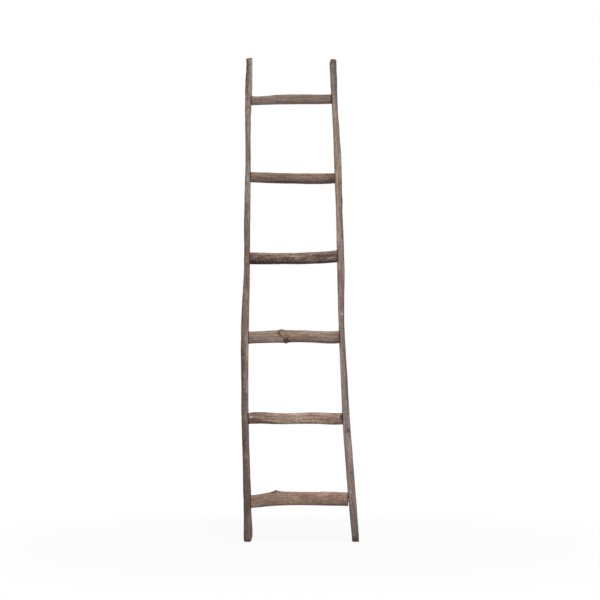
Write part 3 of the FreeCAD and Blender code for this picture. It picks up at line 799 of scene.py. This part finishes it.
leftRail = railCut | {
    "node": "left_rail", "seed": 3, "twist": 1.1, "rim": (0.004, 0.0024),
    "knots": [
        (1.746, -45, 0.0075, 0.0012, 0.0012, 0.9), (1.601, 84, 0.0055, -0.0024, 0, 0),
        (1.322, -84, 0.0045, -0.002, 0, 0), (0.372, -72, 0.011, 0.0014, 0.0014, 0.7),
        (0.1855, 6, 0.0034, 0.0004, 0.0018, 0.8), (1.05, 150, 0.009, 0.0022, 0.0016, 0.9),
        (0.71, 205, 0.008, 0.002, 0.0014, 0.9),
    ],
    "stains": [
        (1.785, 0.055, -46, 36, 0.9), (1.77, 0.09, 40, 30, -0.25), (0.361, 0.036, -28, 46, 0.72),
        (0.115, 0.03, -20, 60, 0.35), (1.245, 0.035, -52, 34, 0.45),
    ],
    "weather": [
        (0, 0.4), (0.1, 0.75), (0.27, 0.3), (0.4, 0.6), (0.6, 1.15), (0.7, 1.15), (0.87, 0.2), (1, 0.3),
        (1.16, 0.85), (1.28, 0.6), (1.6, 0.55), (1.72, 0.7), (1.83, 0.45),
    ],
    "grey": (146, 133, 123), "brown": (137, 117, 105), "warm": (139, 106, 91),
    "dark": (72, 59, 53), "pale": (178, 163, 151), "bare": (196, 182, 168),
    "blush": 0.3, "band": 0.35, "line": 0.5, "mottle": 0.68, "dirt": 0.45, "topDirt": 0.2,
    "tones": [
        (0, 0.5, 0.46, 0.45), (0.18, 0.75, 0.7, 0.69), (0.337, 1.12, 1.08, 1.07), (0.38, 1.72, 1.7, 1.68),
        (0.46, 0.88, 0.77, 0.72), (0.55, 0.83, 0.76, 0.72), (0.675, 1.12, 1.16, 1.19),
        (0.7, 1.66, 1.75, 1.78), (0.735, 1.62, 1.72, 1.75), (0.8, 1.17, 1.18, 1.19),
        (0.9, 1.38, 1.41, 1.43), (1, 1.48, 1.56, 1.6),
    ],
}
makeBranch("leftRail", leftRail)

rightRail = railCut | {
    "node": "right_rail", "seed": 14, "twist": -0.9,
    "rim": (0.0024, 0.0055), "wornOff": 0.0035, "weatherSide": 1,
    "knots": [
        (1.274, 76, 0.0085, 0.0024, 0.0008, 0.9), (0.406, 15, 0.009, 0.0012, 0.001, 0.32),
        (1.56, 75, 0.009, 0.0016, 0.0014, 0.5), (1.806, -78, 0.009, 0.002, 0, 0),
        (1.12, 190, 0.009, 0.0022, 0.0016, 0.9), (0.3, 165, 0.008, 0.002, 0.0014, 0.9),
    ],
    "nubs": [(0.848, 10, 0.006, 0.0009, 1)],
    "stains": [
        (1.815, 0.016, 20, 110, 0.5), (1.79, 0.04, 62, 34, 0.6), (1.27, 0.03, 68, 24, 0.8),
        (1.555, 0.03, 76, 26, 0.6), (1.345, 0.012, 45, 30, 0.5), (1.19, 0.02, 30, 25, 0.4),
        (1.25, 0.018, 42, 28, 0.45), (0.41, 0.012, 20, 40, 0.5), (0.385, 0.012, -30, 25, 0.4),
        (0.33, 0.05, 40, 40, -0.3), (0.01, 0.014, -25, 70, 0.8), (0.02, 0.022, 60, 40, 0.5),
    ],
    "weather": [
        (0, 0.65), (0.1, 0.55), (0.27, 0.5), (0.38, 0.1), (0.55, 0.9), (0.7, 0.85), (0.87, 0.75), (1, 0.55),
        (1.16, 0.75), (1.28, 0.8), (1.45, 0.1), (1.6, 0.5), (1.83, 0.5),
    ],
    "grey": (152, 140, 131), "brown": (146, 126, 114), "warm": (148, 114, 99),
    "dark": (78, 66, 60), "pale": (182, 169, 158), "bare": (192, 179, 167),
    "blush": 0.3, "band": 0.25, "line": 0.4, "mottle": 0.58, "dirt": 0.35, "topDirt": 0.2,
    "tones": [
        (0, 0.68, 0.66, 0.66), (0.15, 1.01, 1, 1.07), (0.22, 0.96, 0.97, 1.05), (0.32, 1.5, 1.52, 1.55),
        (0.39, 1.4, 1.38, 1.4), (0.48, 0.98, 0.87, 0.85), (0.525, 1.03, 0.93, 0.91),
        (0.555, 1.36, 1.26, 1.24), (0.69, 1.58, 1.49, 1.48), (0.725, 1.6, 1.63, 1.62),
        (0.8, 1.1, 1.05, 1.03), (0.87, 1.25, 1.21, 1.18), (0.94, 0.84, 0.87, 0.9), (1, 0.75, 0.79, 0.82),
    ],
}
makeBranch("rightRail", rightRail)

rung6 = rungCut | {
    "node": "rung_6", "seed": 21, "twist": 2,
    "knots": [
        (-0.148, 12, 0.006, 0.0005, 0.0009, 0.45), (-0.096, 88, 0.006, 0.0018, 0, 0),
        (0.05, 170, 0.007, 0.0014, 0.0012, 0.9),
    ],
    "stains": [(0.119, 0.006, 0, 100, 0.6)],
    "weather": [(-0.17, 0.25), (-0.08, 0), (0.12, 0)],
    "grey": (139, 125, 115), "brown": (134, 115, 104), "warm": (138, 108, 93),
    "dark": (80, 66, 59), "pale": (166, 150, 138),
    "blush": 0.1, "band": 0.12, "line": 0.23, "mottle": 0.33, "dirt": 0.3, "topDirt": 0.32,
    "tones": [
        (0, 0.9, 0.9, 0.9), (0.1, 0.97, 0.97, 0.97), (0.5, 1, 1, 1), (0.65, 0.87, 0.87, 0.87),
        (1, 0.72, 0.7, 0.69),
    ],
}
makeBranch("rung6", rung6)

rung5 = rungCut | {
    "node": "rung_5", "seed": 33, "twist": -1.5,
    "knots": [(0.118, -18, 0.007, 0.0006, 0.001, 0.5), (-0.06, 195, 0.008, 0.0016, 0.0012, 0.9)],
    "stains": [(0.12, 0.02, -20, 60, 0.35)],
    "weather": [(-0.17, 0.55), (-0.08, 0.75), (0.12, 0.75)],
    "grey": (136, 118, 107), "brown": (132, 109, 95), "warm": (139, 102, 86),
    "dark": (66, 51, 45), "pale": (166, 147, 133),
    "blush": 0.4, "band": 0.17, "line": 0.29, "mottle": 0.45, "dirt": 0.4, "topDirt": 0.3,
    "tones": [
        (0, 1.05, 1.05, 1.05), (0.12, 1.24, 1.24, 1.24), (0.4, 1.27, 1.25, 1.23), (0.85, 1.28, 1.25, 1.22),
        (1, 0.95, 0.92, 0.9),
    ],
}
makeBranch("rung5", rung5)

rung4 = rungCut | {  # the most weathered one, with deep fine furrows
    "node": "rung_4", "seed": 47, "twist": 1.3, "fine": 1.6,
    "swell": 0.0014, "ridge": 0.0015, "ridges": 165, "furrow": 0.0018, "split": 0.0014, "frontSplits": 1,
    "knots": [(0.055, 150, 0.008, 0.002, 0.0014, 0.9)],
    "stains": [(-0.182, 0.01, 0, 100, 0.5), (-0.02, 0.17, 72, 20, -0.4)],
    "weather": [(-0.18, 0.95), (-0.08, 0.75), (0.04, 0.4), (0.14, 0.55)],
    "grey": (122, 105, 94), "brown": (106, 85, 74), "warm": (118, 78, 65),
    "dark": (42, 31, 27), "pale": (192, 171, 155),
    "blush": 0.35, "band": 0.35, "line": 1, "mottle": 0.45, "dirt": 0.6, "topDirt": 0,
    "tones": [
        (0, 0.98, 0.95, 0.94), (0.12, 1.14, 1.12, 1.12), (0.3, 1.25, 1.24, 1.24), (0.5, 1.25, 1.29, 1.3),
        (0.8, 1.27, 1.28, 1.28), (1, 1.3, 1.25, 1.23),
    ],
}
makeBranch("rung4", rung4)

rung3 = rungCut | {  # the one with the knot collar
    "node": "rung_3", "seed": 58, "twist": -1.1, "segments": 144,
    "growth": [(-0.0605, 0.03)], "creaseDepth": 0.0012,
    "collar": {
        "at": -0.0606, "lean": -0.0099, "half": 0.0085, "spread": 0.5, "rise": 0.0028, "creaseAt": 1.2,
    },
    "knots": [
        (-0.0535, -34, 0.008, 0.0012, 0.0016, 1), (-0.045, -56, 0.0085, 0.0014, 0.0014, 1),
        (-0.0555, -74, 0.0075, 0.0022, 0.0006, 1), (0.07, 185, 0.008, 0.0016, 0.0012, 0.9),
    ],
    "nubs": [
        (-0.058, -25, 0.0021, 0.0005, 0.7), (-0.0505, -13, 0.0016, 0.0003, 0.6),
        (-0.0435, -34, 0.0016, 0.0003, 0.6), (-0.05, -52, 0.0015, 0.0003, 0.6),
    ],
    "stains": [(-0.078, 0.008, 36, 28, 0.55), (-0.069, 0.013, 94, 34, 0.9)],
    "weather": [(-0.18, 0.6), (-0.06, 0.48), (0.15, 0.45)],
    "grey": (143, 126, 112), "brown": (141, 119, 103), "warm": (146, 113, 96),
    "dark": (80, 64, 55), "pale": (172, 154, 139), "bare": (184, 167, 152),
    "blush": 0.3, "band": 0.15, "line": 0.3, "mottle": 0.42, "dirt": 0.4, "topDirt": 0.1,
    "tones": [
        (0, 1.1, 1.2, 1.22), (0.08, 1.32, 1.41, 1.43), (0.25, 1.36, 1.41, 1.41), (0.38, 1.12, 1.1, 1.08),
        (0.58, 1.2, 1.19, 1.18), (0.92, 1.05, 1.05, 1.05), (1, 0.88, 0.86, 0.85),
    ],
}
makeBranch("rung3", rung3)

rung2 = rungCut | {  # crooked, with a dark right end
    "node": "rung_2", "seed": 66, "twist": 0.9, "jointDirt": (0.0017, 0.004),
    "swell": 0.002, "ridge": 0.0013, "ridges": 125, "furrow": 0.0013, "split": 0.001, "frontSplits": 0.5,
    "knots": [(0.152, 30, 0.005, 0.0006, 0.0012, 0.7), (-0.01, 165, 0.008, 0.0016, 0.0014, 0.9)],
    "nubs": [(-0.182, 18, 0.0045, 0.0008, 1)],
    "stains": [(0.155, 0.009, 15, 90, 0.55), (-0.12, 0.06, 82, 20, 0.6)],
    "weather": [(-0.18, 0), (-0.11, 0), (-0.04, 0.4), (0.03, 0.6), (0.15, 0.6)],
    "grey": (157, 136, 121), "brown": (148, 121, 104), "warm": (148, 106, 89),
    "dark": (82, 61, 52), "pale": (194, 174, 158), "bare": (208, 192, 178),
    "blush": 0.5, "band": 0.45, "line": 0.62, "mottle": 0.62, "dirt": 0.6, "topDirt": 0.1,
    "tones": [
        (0, 0.66, 0.65, 0.64), (0.12, 0.71, 0.65, 0.63), (0.2, 0.72, 0.72, 0.72), (0.33, 1.04, 1.11, 1.12),
        (0.55, 1.27, 1.29, 1.28), (0.85, 1.38, 1.37, 1.35), (1, 1, 0.96, 0.95),
    ],
}
makeBranch("rung2", rung2)

rung1 = rungCut | {  # the one with the sawn stub on top
    "node": "rung_1", "seed": 79, "twist": -1.2, "segments": 144,
    "growth": [(-0.0835, 0.03)], "sawnGrowth": 0.5, "creaseDepth": 0.0008,
    "knots": [
        (-0.0925, 88, 0.0085, 0.0024, 0, 0), (-0.082, 90, 0.009, 0.0022, 0, 0),
        (0.091, 78, 0.006, 0.0018, 0, 0), (0.02, 190, 0.009, 0.0016, 0.0014, 0.9),
    ],
    "nubs": [(0.038, -26, 0.0035, 0.0007, 0.55), (0.17, 12, 0.0035, 0.0007, 0.55)],
    "stains": [(-0.0965, 0.011, 84, 30, 0.75)],
    "weather": [(-0.19, 0), (-0.12, 0.05), (-0.04, 0.45), (0.03, 0.65), (0.17, 0.6)],
    "grey": (142, 122, 108), "brown": (140, 114, 99), "warm": (147, 107, 91),
    "dark": (78, 60, 52), "pale": (175, 154, 138), "bare": (190, 173, 158),
    "blush": 0.55, "band": 0.2, "line": 0.35, "mottle": 0.48, "dirt": 0.45, "topDirt": 0.1,
    "tones": [
        (0, 0.82, 0.84, 0.84), (0.18, 0.9, 0.9, 0.89), (0.36, 1.1, 1.08, 1.06), (0.58, 1.44, 1.41, 1.39),
        (0.94, 1.42, 1.39, 1.37), (1, 1.1, 1.08, 1.06),
    ],
}
makeBranch("rung1", rung1)


# Wire nails: turned from short cones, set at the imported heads, each knocked in a little askew
nailSet = {
    "Head": 0.0076, "Face": 0.0056, "Crown": 0.0005, "Rim": 0.0011, "Shank": 0.0034, "Length": 0.08,
    "Point": 0.007, "Dent": 0.0004, "Tilt": 0.02,
}


def nailTree(sides=20, thin=0.00012, weld=0.00002, dentScale=330):
    tree, ids, given = newTree("wireNails", [*nailSet, "Turn", "Seed"])
    sock = Sock(tree)

    # Radius below, radius above, depth, from the head's face down to the point
    head, brow, shank = given.Head * 0.5, given.Face * 0.5, given.Shank * 0.5
    runs = [
        (brow, 0, thin), (head, brow, given.Crown), (head, head, given.Rim),
        (shank, head, thin), (shank, shank, given.Length - given.Point), (0, shank, given.Point),
    ]
    joined = sock.node("GeometryNodeJoinGeometry")
    level = 0
    for below, above, depth in runs:
        level = depth * -1 + level if isinstance(depth, Sock) else level - depth
        shape = {"Vertices": sides, "Radius Top": above, "Radius Bottom": below, "Depth": depth}
        cone = sock.node("GeometryNodeMeshCone", shape | {"Side Segments": 2}, fill_type="NONE")
        put = sock.node("GeometryNodeTransform", {"Geometry": cone, "Translation": sock.joined(Z=level)})
        tree.links.new(put.socket, joined.socket.node.inputs[0])
    nail = sock.node("GeometryNodeMergeByDistance", {"Geometry": joined, "Distance": weld})

    # Set at the heads with a little tilt, then dented
    tilt, turn = given.Tilt, given.Turn
    between = {0: sock.joined(X=tilt * -1, Y=turn - tilt), 1: sock.joined(X=tilt, Y=turn + tilt)}
    between["Seed"] = given.Seed
    spin = sock.node("FunctionNodeRandomValue", between, data_type="FLOAT_VECTOR")
    turned = sock.node("FunctionNodeEulerToRotation", {0: spin})
    spots = {"Points": given.Geometry, "Instance": nail, "Rotation": turned}
    placed = sock.node("GeometryNodeInstanceOnPoints", spots)
    whole = sock.node("GeometryNodeRealizeInstances", {"Geometry": placed})
    place = sock.node("GeometryNodeInputPosition")
    dents = sock.node("TexNoise", {"Vector": place, "Scale": dentScale, "Detail": 1})
    offset = sock.node("GeometryNodeInputNormal").scaled((dents - 0.5) * given.Dent)
    knocked = sock.node("GeometryNodeSetPosition", {"Geometry": whole, "Offset": offset})
    closeTree(given, knocked)
    return tree, ids


# Dull steel under a crust of rust
def rustedSteel():
    material, sock = newMaterial("rustedNail")
    place = sock.node("TexCoord", out="Object")
    crust = sock.node("TexNoise", {"Vector": place, "Scale": 420, "Detail": 5, "Roughness": 0.65})
    spots = sock.node("TexNoise", {"Vector": place, "Scale": 1300, "Detail": 3})
    rusty = crust.fade(0.4, 0.6)
    colour = sock.mix(spots, paint(58, 54, 52), paint(92, 86, 82))
    colour = sock.mix(rusty, colour, paint(92, 54, 36))
    colour = sock.mix(spots.fade(0.5, 0.7) * rusty * 0.6, colour, paint(52, 32, 25))
    bump = sock.node("Bump", {"Strength": 0.5, "Distance": 0.0004, "Height": crust + spots * 0.4})
    body = {"Base Color": colour, "Metallic": (1 - rusty) * 0.85, "Roughness": rusty * 0.35 + 0.5}
    sock.dress(body | {"Normal": bump})
    return material


nailsTree, nailIds = nailTree()
nailMaterial = rustedSteel()
for rail, row in nailRows.items():
    node = row["node"]
    mesh = bpy.data.meshes.new(row["piece"])
    mesh.from_pydata(heads[rail], [], [])
    piece = addPiece(row["piece"], mesh)
    values = {nailIds[key]: size for key, size in nailSet.items()}
    values |= {nailIds["Turn"]: math.radians(90 * row["outward"]), nailIds["Seed"]: float(row["seed"])}
    values[nailIds["Material"]] = nailMaterial
    settle(piece, nailsTree, values)
    piece.data.polygons.foreach_set("use_smooth", np.ones(len(piece.data.polygons), bool))
    piece.data.set_sharp_from_angle(angle=math.radians(40))
    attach(piece, "root")
    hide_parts(node)
    print(row["piece"], "made:", len(heads[rail]), "nails,", len(piece.data.polygons), "faces")
